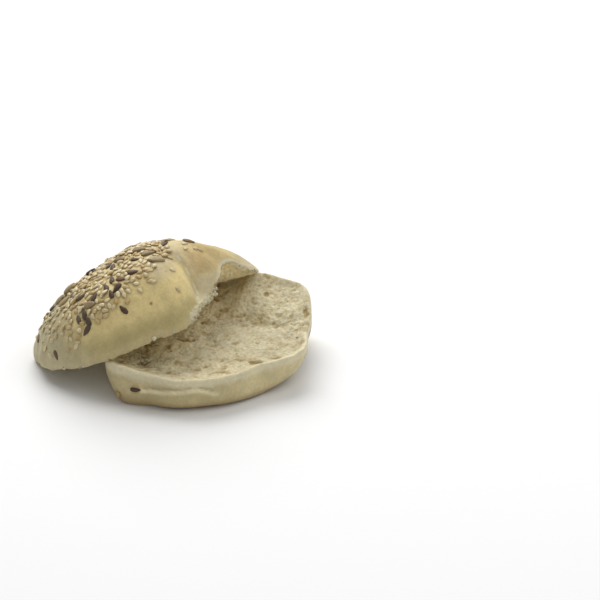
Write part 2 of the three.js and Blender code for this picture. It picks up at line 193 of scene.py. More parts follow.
# The larger seeds that can be told apart: x and y on the top half, heading of the tip.
PLACED = {
    "linseed": (
        (-5, -23, 105), (-43, -15.5, -125), (-24, -22, -140), (-22, -20.5, 80), (-23, -17.5, 75),
        (-26.5, -17, 80), (-16.5, -14.5, 50), (-23.5, -8, -10), (-29, 0, 85), (-5, -16, -130),
        (-7, -10.5, 90), (-10, -13.5, 95), (-8, -17.5, 95), (4.5, -2.5, -30), (3, -11, -10),
        (-8.5, 3.5, 60), (-6.5, 0, 85), (17, 9.5, 60), (-19, 12, 10), (26.5, 14.5, 0), (-0.5, 11, 20),
        (-41.5, 3.5, 50), (-51.5, 1, 55), (-2.5, -12.5, -25),
    ),
    "sunflower": (
        (-19, -16, -30), (-3, 3.5, -28), (6.5, 6, -10), (10.5, -0.5, 13), (14, -6, 3), (-33.5, 1, 10),
    ),
}
# The rest are scattered over an oval patch.
PATCH = {
    "seed": 5,
    "jitter": 97,
    "tries": 6000,
    "centre": (-17, 6),
    "across": (33, 26),
    "reach": 1.1,  # how far the draws go, as a share of the patch
    "edge": (0.946, 1.1),  # where they thin out, as shares of the reach
    "raised_edge": (0.86, 1.02),  # the same for those that lie on others
    "lowest": 0.12,  # how far up the crust the lowest lie
    "clear": 0.35,  # room beside a seed of another kind, as a share of its length
    "lean": 0.9,  # how much a seed leans for each millimetre that it may be raised
}
# Kind, how many at most, how far apart, beyond which y, and how high they may lie on the others.
SCATTERED = (
    ("sunflower", 4, 11, 17, 0),
    ("linseed", 9, 7.5, 14, 0),
    ("sesame", 106, 4, -40, 0),
    ("sesame", 270, 2.1, -40, 0.2),
    ("sesame", 130, 1.9, -40, 0.8),
)
SPARSE = {"x": (-35, -16), "left": 0.05}  # the raised ones thin out towards the low end, to this share
# Dark seeds that lie on the others: x and y, heading, how high.
RAISED = {
    "linseed": ((-19.5, 12.5, 20, 0.9), (-41.5, 9.5, 55, 0.5)),
    "sunflower": ((-30, 7.5, 40, 0.8), (-36, 6.5, 50, 0.6)),
}
# The linseeds and kernels that are browner: x and y on the top half.
BROWN = ((-2.5, -12.5), (26.5, 14.5), (-3, 3.5), (-30, 7.5), (-36, 6.5), (10.5, -0.5))
# Two flat flakes of oat: x and y on the top half, heading.
FLAKES = ((5.2, -6.7, -11), (9.8, -11.5, -31))
# Single sesame seeds outside the patch, the same.
LONE = (
    (25, 11.5, 35), (25.5, 7.5, 40), (29, 11, 35), (30.5, 11.5, -10), (19, -8.5, 0), (11, -16.5, 0),
    (19, -15, -30), (4.5, -19, -65), (-30, -21.5, -15), (-34.5, -18, 45), (-8.5, -21.5, 60), (-13, -22.5, 20),
)
# The pieces that the kinds make.
PIECES = (
    ("sesame", "sesame_seeds"),
    ("linseed", "linseeds"),
    ("sunflower", "sunflower_kernels"),
    ("flake", "oat_flakes"),
)
# Two seeds on the crust of the bottom half: kind, angle, height on the side, heading from the way round it.
STRAY = (("linseed", 228.5, 0.73, 8), ("sesame", 218.5, 0.47, 60))

# Colours of the bread: the crumb, the crust of the bottom half, and from DOUGH on that of the top half.
# the deep crumb colour, for the hollows, is partly painted shade; the warm crumb colour is painted bounce
# light under the top half
CRUMB_LIGHT, CRUMB_DEEP, CRUMB_BOUNCE_LIGHT = (0.665, 0.61, 0.425), (0.42, 0.33, 0.16), (0.9, 0.73, 0.38)
# the crumb where the top half shades it, painted shade: a darker, warmer deep colour and a warmer light
# colour
CRUMB_SHADE, CRUMB_SOFT = (0.31, 0.205, 0.075), (0.7, 0.62, 0.4)
# the low wall colour is browned crust and painted shade near the table
WALL, WALL_RIGHT, WALL_LOW = (0.515, 0.43, 0.225), (0.63, 0.54, 0.3), (0.45, 0.345, 0.17)
# the strip colour, below the fold of the crust, is a painted highlight
BASE, LIP, FOLD_HIGHLIGHT, WALL_END = (0.4, 0.27, 0.12), (0.7, 0.63, 0.42), (0.76, 0.675, 0.42), (0.33, 0.28, 0.16)
DOUGH, GOLDEN, TAN = (0.49, 0.405, 0.185), (0.73, 0.59, 0.275), (0.525, 0.395, 0.185)
# the halo colour round the seeds is browned crust and painted shade
PALE, FLOUR, TIP, HALO_BROWN_AND_SHADE = (0.6, 0.51, 0.31), (0.8, 0.745, 0.56), (0.475, 0.415, 0.24), (0.4, 0.29, 0.12)
# the seam colour, in the fold of the crust, is painted shade
SPOT, DIM, FOLD_SHADE = (0.22, 0.12, 0.05), (0.54, 0.445, 0.25), (0.36, 0.28, 0.13)
# Where the flour lies along the crease: y and x on the top half.
STREAK = ((-10, 22.6), (-8.1, 23.6), (-4.7, 24.4), (-2.75, 24), (-0.3, 23), (2.6, 21.6), (8, 19.5))
# Brown spots: x and y on the top half, radius.
SPOTS = ((7.1, -22.1, 0.75), (15, -11.7, 0.4), (16.8, -11.1, 0.3), (18.6, -9, 0.35))
# Seeds: name of the material, colour, the browner colour, the colour below as painted shade on their lower
# side, roughness and shine.
SEED_PAINTS = {
    "sesame": ("sesame_seed", (0.8, 0.7, 0.45), (0.47, 0.33, 0.13), (0.3, 0.195, 0.07), 0.4, 0.4),
    "linseed": ("linseed", (0.05, 0.036, 0.026), (0.17, 0.08, 0.038), (0.04, 0.027, 0.018), 0.5, 0.3),
    "sunflower": (
        "sunflower_kernel", (0.42, 0.335, 0.175), (0.25, 0.175, 0.085), (0.15, 0.095, 0.04), 0.5, 0.3
    ),
    "flake": ("oat_flake", (0.72, 0.62, 0.38), (0.6, 0.46, 0.22), (0.55, 0.42, 0.2), 0.7, 0.2),
}

# Large whole numbers that scatter others: for draws, the axes of a place, a seed and to mix.
DRAW = {"times": 1664525, "plus": 1013904223, "range": 2**32}
AXES = (73856093, 19349663, 83492791)
SEED_TIMES, MIX_TIMES = 2654435761, 0xBF58476D1CE4E5B9
WAVES = 9  # how many waves cross in a lump
ABOVE_ZERO = 1000.0  # added to places in a grid of noise, so that none is below zero

# ------------ rules
join = np.concatenate


def smooth(low, high, x):
    """From 0 to 1 while x goes from low to high, with soft ends."""
    t = np.clip((x - low) / (high - low), 0, 1)
    return t * t * (3 - 2 * t)


def fade(low, high, x):
    """From 1 to 0 while x goes from low to high."""
    return 1 - smooth(low, high, x)


def between(low, high, soft, x):
    """1 from low to high and 0 elsewhere, with soft ends."""
    return smooth(low - soft, low + soft, x) * fade(high - soft, high + soft, x)


def along_rim(stretches, angle):
    """How much of something there is at an angle, from its stretches of the rim."""
    total = 0
    for amount, start, end, soft in stretches:
        turned = np.mod(angle - start + soft, 360) + start - soft
        total = total + amount * between(start, end, soft, turned)
    return total


def plain(colour, points):
    """The same colour for every point."""
    return np.tile(colour, (len(points), 1))


def toward(colours, other, share):
    """The colour of each point, moved towards another one by its share."""
    return colours + (np.array(other) - colours) * np.clip(share, 0, 1)[:, None]


def near(points, place, inner, outer):
    """1 up to one distance from a place and 0 beyond the other."""
    return fade(inner, outer, np.linalg.norm(points - place, axis=1))


def unit(vectors):
    return vectors / np.linalg.norm(vectors, axis=-1, keepdims=True)


class Drawing:
    """Draws between 0 and 1 that are the same on every run."""

    def __init__(self, seed):
        self.state = seed

    def __call__(self):
        self.state = (self.state * DRAW["times"] + DRAW["plus"]) % DRAW["range"]
        return self.state / DRAW["range"]

    def any_way(self):
        return np.array([self() - 0.5, self() - 0.5, self() - 0.5])


def lumps(rule, points):
    """Soft lumps anywhere in space: waves that cross at odd angles."""
    draw = Drawing(rule["seed"])
    total = 0
    for _ in range(WAVES):
        turn, rise = draw() * 2 * pi, 2 * draw() - 1
        pitch = 2 * pi / (rule["shortest"] + (rule["longest"] - rule["shortest"]) * draw())
        flat = sqrt(1 - rise * rise)
        wave = np.array([flat * cos(turn), flat * sin(turn), rise]) * pitch
        total = total + np.sin(points @ wave + draw() * 2 * pi)
    return rule["height"] * (total / sqrt(WAVES))


def hashed(cell, seed):
    """A number from 0 to 1 for each whole-number place in space."""
    x, y, z = (cell[..., axis].astype(np.uint64) * np.uint64(AXES[axis]) for axis in range(3))
    h = x ^ y ^ z ^ np.uint64(seed * SEED_TIMES)
    for _ in range(2):
        h = (h ^ (h >> np.uint64(29))) * np.uint64(MIX_TIMES)
    return ((h >> np.uint64(40)) & np.uint64(0xFFFFFF)).astype(float) / 0xFFFFFF


def noise(points, size, seed):
    """Smooth noise from -1 to 1 with bumps about `size` across."""
    place = points / size + ABOVE_ZERO
    cell = np.floor(place).astype(np.int64)
    t = smooth(0, 1, place - cell)
    total = 0
    for corner in np.ndindex(2, 2, 2):
        step = np.array(corner)
        weight = np.prod(np.where(step == 1, t, 1 - t), axis=-1)
        total = total + weight * hashed(cell + step, seed)
    return 2 * total - 1


def grain(points, name, step=0):
    """The layers of noise of that name, added up; another step gives another one like it."""
    return sum(strength * noise(points, size, seed + step) for strength, size, seed in GRAIN[name])


def shift(points, name):
    """A small way in any direction for each point."""
    return np.stack([grain(points, name, axis) for axis in range(3)], axis=-1)


def pits(points, rule):
    """How deep a point lies in the round cells of a foam, in millimetres."""
    place = points / rule["apart"] + ABOVE_ZERO
    cell = np.floor(place).astype(np.int64)
    small, large = rule["radii"]
    seed = rule["seed"]
    deepest = np.zeros(len(points))
    for offset in np.ndindex(3, 3, 3):
        beside = cell + np.array(offset) - 1
        middle = beside + np.stack([hashed(beside, seed + axis) for axis in (1, 2, 3)], axis=-1)
        radius = small + (large - small) * hashed(beside, seed + 4) ** 2
        away = np.linalg.norm(place - middle, axis=-1) * rule["apart"]
        inside = np.clip(1 - (away / (radius + 0.01)) ** 2, 0, None)
        deepest = np.maximum(deepest, radius * inside)
    return deepest * rule["depth"]


def around(stations, column, degrees):
    """One column of a table of stations, at any angle: a smooth closed curve through them."""
    table = np.array(stations, dtype=float)
    n = len(table)
    a = np.mod(degrees, 360)
    i = np.searchsorted(table[:, 0], a, side="right") - 1
    at = lambda k: table[np.mod(k, n), column]
    angle = lambda k: table[np.mod(k, n), 0] + 360 * np.floor_divide(k, n)
    a0, a1, a2, a3 = angle(i - 1), angle(i), angle(i + 1), angle(i + 2)
    t = (a - a1) / (a2 - a1)
    m1 = (at(i + 1) - at(i - 1)) / (a2 - a0) * (a2 - a1)
    m2 = (at(i + 2) - at(i)) / (a3 - a1) * (a2 - a1)
    t2, t3 = t * t, t * t * t
    first = (2 * t3 - 3 * t2 + 1) * at(i) + (t3 - 2 * t2 + t) * m1
    return first + (3 * t2 - 2 * t3) * at(i + 1) + (t3 - t2) * m2


def rim_of(half, degrees):
    """The radius, the height and the last column of the rim of a half."""
    return [around(half["rim"], column, degrees) for column in (1, 2, 3)]


def polar(centre, degrees, radius, z):
    turn = np.radians(degrees)
    x, y = centre[0] + radius * np.cos(turn), centre[1] + radius * np.sin(turn)
    return np.stack(np.broadcast_arrays(x, y, z), axis=-1)


# ------------ bottom half
def fold_depth(d, up):
    """How deep the fold in the crust is at an angle and a height on the wall."""
    fold = BOTTOM["fold"]
    start, end, ramp_by = fold["line"][0][0], fold["line"][-1][0], fold["ramp"]
    along = smooth(start, start + ramp_by, d) * fade(end - ramp_by, end, d)
    over = up - around(fold["line"], 1, d)
    width = np.where(over > 0, fold["above"], fold["below"])
    return fold["depth"] * along * np.exp(-((over / width) ** 2))


def bottom_wall(d, up):
    """The crust: from the table (up = 0) to the rim (up = 1)."""
    radius, height, share = rim_of(BOTTOM, d)
    angle = up * pi / 2
    foot = share * radius
    r = foot + (radius - foot) * np.sin(angle) ** BOTTOM["round"]
    z = height * (1 - (np.cos(angle) + 1e-9) ** BOTTOM["round"])
    loose = smooth(0, 0.3, up) * fade(0.85, 1, up)
    lump = lumps(CRUST, polar(BOTTOM["centre"], d, r, z)) * loose
    belly = along_rim(BOTTOM["belly"], d) * np.sin(2 * angle) ** 2
    return polar(BOTTOM["centre"], d, r - fold_depth(d, up) + lump + belly, z)


def bottom_crumb(d, share):
    """The cut face: from the middle (share = 0) to just inside the rim."""
    radius, height, _ = rim_of(BOTTOM, d)
    # the face is flat in the middle and then climbs to the rim, sooner where the rim is high
    start = 0.64 - 0.22 * smooth(16, 25, height)
    climb = np.clip((share - start) / (1 - start), 0, 1)
    bend = BOTTOM["bend"]
    rise = (np.hypot(climb, bend) - bend) / (hypot(1, bend) - bend)
    flat = polar(BOTTOM["centre"], d, share * (radius - BOTTOM["lip"]), 0.0)
    lump = lumps(CRUMB, flat) * fade(0.75, 0.97, share)
    flat[..., 2] = BOTTOM["floor"] + (height - BOTTOM["floor"]) * rise + lump
    return flat


# ------------ top half
def crease_depth(x, y):
    """The fold that runs down between the two lobes, at a place seen from above."""
    crease = TOP["crease"]
    start, run = np.array(crease["start"]), np.subtract(crease["end"], crease["start"])
    length = hypot(*run)
    along = ((x - start[0]) * run[0] + (y - start[1]) * run[1]) / length / length
    aside = ((x - start[0]) * run[1] - (y - start[1]) * run[0]) / length
    return crease["depth"] * smooth(-0.15, 0.35, along) * np.exp(-((aside / crease["width"]) ** 2))


def top_dome(d, up):
    """The crust: from the rim (up = 0) to the crown (up = 1)."""
    radius, height, lean = rim_of(TOP, d)
    angle = up * pi / 2
    edge = fade(0, 0.25, up) * lumps(TORN, polar(TOP["centre"], d, radius, 0.0))
    r = radius * TOP["overhang"] * (np.maximum(np.cos(angle), 0) + 1e-9) ** lean + edge
    shift_by = np.sin(angle) ** 2
    z = height + (TOP["crown"][2] - height) * np.sin(angle) ** lean + edge
    point = polar(TOP["centre"], d, r, z)
    point[..., 0] += TOP["crown"][0] * shift_by
    point[..., 1] += TOP["crown"][1] * shift_by
    outward = polar((0, 0), d, np.cos(angle), np.sin(angle))
    lump = lumps(CRUST, point) * smooth(0, 0.2, up)
    lump = lump - crease_depth(point[..., 0], point[..., 1]) * smooth(0.02, 0.15, up)
    return point + outward * lump[..., None]


def top_crumb(d, share):
    """The crumb under it: from the middle (share = 0) to the rim."""
    radius, height, _ = rim_of(TOP, d)
    drop = smooth(0.4, 0.95, share)
    edge = smooth(0.8, 1, share) * lumps(TORN, polar(TOP["centre"], d, radius, 0.0))
    flat = polar(TOP["centre"], d, share * radius * TOP["inset"] + edge, 0.0)
    lump = lumps(CRUMB, flat) * fade(0.7, 0.95, share)
    flat[..., 2] = TOP["hollow"] + (height - TOP["hollow"]) * drop + lump + edge
    return flat


def on_dome(x, y):
    """Where the crust lies over places on the plan: their angle and how far up they are."""
    low, high = np.full_like(x, 0.01), np.full_like(x, 0.999)
    for _ in range(30):
        up = (low + high) / 2
        shift_by = np.sin(up * pi / 2) ** 2
        dx = x - TOP["centre"][0] - TOP["crown"][0] * shift_by
        dy = y - TOP["centre"][1] - TOP["crown"][1] * shift_by
        d = np.degrees(np.arctan2(dy, dx))
        radius, _, lean = rim_of(TOP, d)
        reach = radius * TOP["overhang"] * np.cos(up * pi / 2) ** lean
        inside = np.hypot(dx, dy) < reach
        low, high = np.where(inside, up, low), np.where(inside, high, up)
    return d, (low + high) / 2


def seat_on(surface, d, up):
    """Points of a surface with the direction straight out of it and the one round it."""
    side = surface(d + 1, up) - surface(d - 1, up)
    rise = surface(d, up + 0.01) - surface(d, up - 0.01)
    return surface(d, up), unit(np.cross(side, rise)), unit(side)


def top_frame():
    """How the top half is turned, and where its middle comes to lie."""
    about_x, about_y = TOP["tilt"]
    cx, sx, cy, sy = cos(about_x), sin(about_x), cos(about_y), sin(about_y)
    turn = np.array([[1, 0, 0], [0, cx, -sx], [0, sx, cx]]) @ np.array([[cy, 0, sy], [0, 1, 0], [-sy, 0, cy]])
    return turn, np.array(TOP["seat"]) + turn @ np.array([TOP["reach"], 0, 0])


TURN, MIDDLE = top_frame()


# ------------ meshes
def disc(rings):
    """An even mesh of triangles over a disc: ring i has 6 i points. Gives share, angle and faces."""
    share, angle, faces = [0.0], [0.0], []
    inner, first = 0, 1
    for ring in range(1, rings + 1):
        count, held = 6 * ring, max(6 * (ring - 1), 1)
        share += [ring / rings] * count
        angle += [360 * k / count for k in range(count)]
        for k in range(count):
            sixth, step = divmod(k, ring)
            within = sixth * (ring - 1) + step
            here, there = inner + within % held, inner + (within + 1) % held
            after = first + (k + 1) % count
            faces.append((here, first + k, after))
            if step < ring - 1:
                faces.append((here, after, there))
        inner, first = first, first + count
    return np.array(share), np.array(angle), np.array(faces)


def triangles(a, b, c):
    return np.stack([a, b, c], axis=1)


def bands(rows, first, count):
    """Faces between rows of `count` points each, one above the other, from point `first` on."""
    k = np.arange(count)
    after = (k + 1) % count
    faces = []
    for row in range(rows - 1):
        low, high = first + row * count, first + (row + 1) * count
        faces += [triangles(low + k, low + after, high + k), triangles(low + after, high + after, high + k)]
    return join(faces)


def normals(points, faces):
    """The way out of a mesh at each of its points."""
    a, b, c = (points[faces[:, corner]] for corner in range(3))
    across = np.cross(b - a, c - a)
    total = np.zeros_like(points)
    for corner in range(3):
        np.add.at(total, faces[:, corner], across)
    return unit(total + 1e-12)


def soften(points, faces, where, times):
    """Moves points towards the middle of their neighbours, as far as `where` says for each."""
    first = join([faces[:, 0], faces[:, 1], faces[:, 2]])
    second = join([faces[:, 1], faces[:, 2], faces[:, 0]])
    count = np.bincount(first, minlength=len(points))[:, None]
    for _ in range(times):
        total = [np.bincount(first, points[second, axis], len(points)) for axis in range(3)]
        points = points + (np.stack(total, axis=-1) / count - points) * where[:, None]
    return points


def new_object(name, data):
    made = bpy.data.objects.new(name, data)
    bpy.context.scene.collection.objects.link(made)
    return made


def mesh_piece(name, points, faces, paint, replaced, values):
    """A closed mesh piece in metres, with a value at each point for each name in `values`."""
    mesh = bpy.data.meshes.new(name)
    placed = (points - np.array([*ORIGIN, 0])) * MM
    mesh.from_pydata(placed.tolist(), [], faces.tolist())
    for key, numbers in values.items():
        if numbers.ndim == 1:
            mesh.attributes.new(key, "FLOAT", "POINT").data.foreach_set("value", numbers.astype(np.float32))
        else:
            opaque = np.hstack([numbers, np.ones((len(numbers), 1))]).astype(np.float32)
            mesh.attributes.new(key, "FLOAT_COLOR", "POINT").data.foreach_set("color", opaque.ravel())
    mesh.shade_smooth()
    mesh.materials.append(paint)
    piece = new_object(name, mesh)
    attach(piece, "root")
    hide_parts(replaced)


# ------------ relief and colour
def crumb_relief(points):
    """How far torn crumb stands over its smooth surface."""
    bent = (points + 0.3 * shift(points, "bend")) * np.array(LAYERED)
    holes = np.maximum.reduce([pits(bent, rule) for rule in CELLS])
    return 0.25 + grain(bent, "crumb") - holes


def hollows(points):
    """Depth of the named cells of the open face."""
    depth = np.zeros(len(points))
    wobble = grain(points, "hollow")
    for x, y, length, width, deep, heading in HOLLOWS:
        turn = radians(heading)
        dx, dy = points[:, 0] - BOTTOM["centre"][0] - x, points[:, 1] - BOTTOM["centre"][1] - y
        along = (dx * cos(turn) + dy * sin(turn)) / length * 2
        aside = (dy * cos(turn) - dx * sin(turn)) / width * 2
        depth = np.maximum(depth, deep * smooth(0.0, 0.85, 1 - along**2 - aside**2 + wobble))
    return depth


def crumb_tint(points, relief, torn=0.0):
    """Lighter on what stands up and browner in what lies deep, as painted light and shade; browner in soft
    clusters; and most of all where `torn` is high, which is painted shade, darker and warmer.
    """
    share = smooth(-0.85, 0.4, relief + grain(points, "clusters") * (1.05 + 1.5 * torn))
    torn = np.broadcast_to(torn, len(points))
    deep = toward(plain(CRUMB_DEEP, points), CRUMB_SHADE, torn)
    light = toward(plain(CRUMB_LIGHT, points), CRUMB_SOFT, torn)
    return toward(deep, light, share)


def mottled(points, tint):
    return tint * (1 + grain(points, "mottled"))[:, None]


def wall_tint(points, up, d):
    """The pale crust of the bottom half."""
    tint = toward(plain(WALL, points), WALL_RIGHT, along_rim(RIGHT_SIDE, d))
    tint = toward(tint, WALL_END, along_rim(RIGHT_END, d))
    above = points[:, 2] + grain(points, "foot")
    # darker and browner towards the table: browned crust and painted shade where the wall meets the table
    tint = toward(tint, WALL_LOW, fade(1.0, 6.5, above))
    tint = toward(tint, BASE, fade(0.0, 1.0, above))
    deepest = BOTTOM["fold"]["depth"]
    # a painted highlight on the ledge below the fold, and painted shade in the fold
    tint = toward(tint, FOLD_HIGHLIGHT, fold_depth(d, up + 0.06) / deepest)
    tint = toward(tint, FOLD_SHADE, 0.85 * (fold_depth(d, up) / deepest) ** 5)
    tint = tint * (1 + grain(points, "wall"))[:, None]
    tint = toward(mottled(points, tint), LIP, smooth(0.84, 0.97, up + grain(points, "lip line")))
    for _, turn, height, _ in STRAY:
        place = bottom_wall(np.array([turn]), np.array([height]))[0]
        tint = toward(tint, HALO_BROWN_AND_SHADE, 0.8 * near(points, place, 1.8, 2.7))
    return tint


def dome_tint(points, up, d, seeds):
    """The golden crust of the top half."""
    x, y, z = points.T
    cloud = grain(points, "golden")
    tint = toward(plain(DOUGH, points), GOLDEN, smooth(5, 13.5, z + 2.0 * cloud))
    tint = toward(tint, TIP, fade(-42, -20, x + 3 * cloud))
    # the lobe beyond the crease is tan above and pale below, and runs softly into the rest at the back
    faded = smooth(4, 20, y)
    beyond = smooth(0, 1, (x - 22.5 + 13 * faded + 3 * faded * cloud) / (3.5 + 24 * faded))
    risen = z - 10 + 0.3 * np.clip(x - 28, 0, None) + 1.2 * cloud + 4 * faded
    over = smooth(0, 1, risen / (5 + 9 * faded))
    tint = toward(tint, TAN, beyond * over * (1 - 0.4 * faded))
    tint = toward(tint, PALE, beyond * (1 - over) * (1 - 0.5 * faded))
    tint = toward(tint, DIM, smooth(19, 25, z) * between(10, 24, 4, x) * (1 - faded))
    # flour along the crease, in a wide faint strip and a narrow broken one
    aside = x - np.interp(y, *np.array(STREAK).T)
    along = between(-9.5, 4.5, 1.2, y) * smooth(3.0, 5.0, z)
    tint = toward(tint, PALE, 0.6 * along * np.exp(-(((aside - 1) / 2.6) ** 2)))
    broken = along * (0.15 + 0.75 * smooth(-0.4, 0.4, grain(points, "dusted")))
    narrow = np.exp(-(((aside + grain(points, "streak")) / 0.5) ** 2))
    tint = toward(tint, FLOUR, broken * narrow)
    tint = mottled(points, tint) * (1 - 0.09 * smooth(27, 36, x))[:, None]
    # the rim is pale, most over the arch
    arch = along_rim(ARCH, d)
    tint = toward(tint, PALE, fade(0.03, 0.075 + 0.05 * arch, up) * (0.3 + 0.7 * arch))
    tint = toward(tint, FLOUR, 0.4 * fade(0.02, 0.09, up) * arch)
    # the crust is browner round the seeds, partly browned crust and partly painted shade, most between close
    # ones where the painted shade is deepest
    places = kdtree.KDTree(len(seeds))
    for number, seed in enumerate(seeds):
        places.insert(Vector(seed[1]), number)
    places.balance()
    nearest = np.array([[found[2] for found in places.find_n(point, 3)] for point in points.tolist()])
    away, crowd = nearest[:, 0], nearest[:, 2]
    browned_and_shaded = 0.22 + 0.48 * fade(2.6, 4.6, crowd)
    tint = toward(tint, HALO_BROWN_AND_SHADE, browned_and_shaded * fade(1.0, 2.5, away) * smooth(-50, -20, x))
    for spot_x, spot_y, radius in SPOTS:
        place = top_dome(*on_dome(np.array([spot_x]), np.array([spot_y])))[0]
        tint = toward(tint, SPOT, 0.8 * near(points, place, 0.4 * radius, 1.4 * radius))
    return tint


# ------------ the two halves
def bottom_shell():
    """The bottom half without its relief: the cut face, the wall down from its rim and the flat base.

    Gives points, faces, how many points lie on the cut face, and the share, the angle and the row of each.
    """
    share, angle, faces = disc(FINE["bottom"])
    crumb = bottom_crumb(angle, share)
    cut, count = len(crumb), 6 * FINE["bottom"]
    sectors = 360 * np.arange(count) / count
    wall = [bottom_wall(sectors, 1 - row / WALL_ROWS) for row in range(WALL_ROWS + 1)]
    middle = np.array([*BOTTOM["centre"], 0.0])
    base = [middle + (wall[-1] - middle) * part for part in BASE_RINGS]
    rows = len(wall) + len(base)
    points = join([crumb, *wall, *base, middle[None]])
    last = len(points) - 1
    k = np.arange(count)
    skirt = bands(rows + 1, cut - count, count)[:, ::-1]
    cap = triangles(np.full(count, last), last - count + (k + 1) % count, last - count + k)
    share = join([share, np.ones(rows * count + 1)])
    turns = join([angle, np.tile(sectors, rows), [0.0]])
    row = join([np.zeros(cut), np.arange(rows * count + 1) // count])
    return points, join([faces, skirt, cap]), cut, share, turns, row


def bottom_bread(paint, loose_paint):
    """The bottom half, and the bits of crumb on its cut face."""
    points, faces, cut, share, turns, row = bottom_shell()
    out = normals(points, faces)
    rear = along_rim(REAR, turns)
    on_crumb = np.zeros(len(points))
    on_crumb[:cut] = fade(0.93, 0.98, (share - 0.045 * rear)[:cut] + grain(points[:cut], "cut"))

    # layers behind the ridge, a ledge before it, and the side that is torn most and painted in shade
    x, y = (points - np.array([*BOTTOM["centre"], 0]))[:, :2].T
    past = y - np.interp(x, *np.array(RIDGE).T) + grain(points, "ridge")
    layers = between(1.2, 8.5, 1.4, past)
    ledge = between(-4.5, 0.2, 1.2, past) * smooth(-8, 4, x)
    torn = fade(-4, 5, x - np.interp(y, *np.array(TORN_AND_SHADED_SIDE).T) + grain(points, "torn"))
    relief = crumb_relief(points) * (0.9 - 0.2 * smooth(8, 20, y)) - hollows(points)
    relief = relief * (1 + 0.35 * layers) + 0.3 * ledge - 0.12 * layers
    relief = relief * (1 + 0.7 * torn)

    # painted light and shade on the crumb: the side under the top half is painted darker and warmer as its
    # shade, the front browner, the ledge lighter as a painted highlight and the layers behind the ridge
    # darker as painted shade
    brown = np.maximum(torn, 0.5 * fade(-20, -8, y))
    shade = relief + 0.12 * ledge - 0.16 * layers - 0.04 * brown
    # painted light and shade across the face: darker towards the right and the front, lighter towards the
    # back, and darker at the left and back where the top half shades it
    painted_light = 1.1 - 0.14 * smooth(6, 24, x) - 0.06 * smooth(24, 34, x) + 0.14 * smooth(14, 26, y)
    painted_light = painted_light - 0.1 * between(-40, 4, 5, x) * between(2, 36, 5, y) - 0.05 * fade(-14, -4, y)
    crumb = crumb_tint(points, shade, brown) * painted_light[:, None]
    tint = toward(wall_tint(points, np.clip(1 - row / WALL_ROWS, 0, 1), turns), crumb, on_crumb)

    free = smooth(0.0, 1.5, points[:, 2])
    height = relief * on_crumb + grain(points, "crust") * (1 - on_crumb) * free
    points = points + out * height[:, None]
    # the cut edge of the crust is soft and a little uneven, but it keeps its place
    near_rim = smooth(0.87, 0.985, share - 0.5 * rear * (1 - share))
    lip = near_rim * fade(1, 8, row) * (1 - 0.5 * rear)
    points[:, 2] += lip * grain(points, "lip")
    rim = slice(cut - 6 * FINE["bottom"], cut)
    sharp = points[rim]
    points = soften(points, faces, SOFT_LIP["share"] * lip, SOFT_LIP["times"])
    lost = sharp - points[rim]
    for axis in range(3):
        points[:, axis] += lip * np.interp(turns, turns[rim], lost[:, axis], period=360)
    points[:, 2] = np.maximum(points[:, 2], 0)
    mesh_piece("bottom_bread", points, faces, paint, "bottom_half", {"crumb": on_crumb, "tint": tint})
    # most bits lie in the corner at the left of the cut face
    chance = 0.02 + 2.5 * np.exp(-(((x + 27) / 8) ** 2) - ((y + 18) / 6) ** 2)
    chance = (chance * (share < 0.965))[:cut]
    bits("bottom_crumbs", points[:cut], out, chance, loose_paint, "bottom_half")


def top_shell():
    """The top half without its relief: crumb and crust, point over point, faces, share and angle."""
    share, angle, faces = disc(FINE["top"])
    under, dome = top_crumb(angle, share), top_dome(angle, 1 - share)
    cut, count = len(under), 6 * FINE["top"]
    k = np.arange(count)
    low, after = cut - count + k, cut - count + (k + 1) % count
    joint = [triangles(low, after, cut + low), triangles(after, cut + after, cut + low)]
    return under, dome, join([faces[:, ::-1], *joint, faces + cut]), share, angle


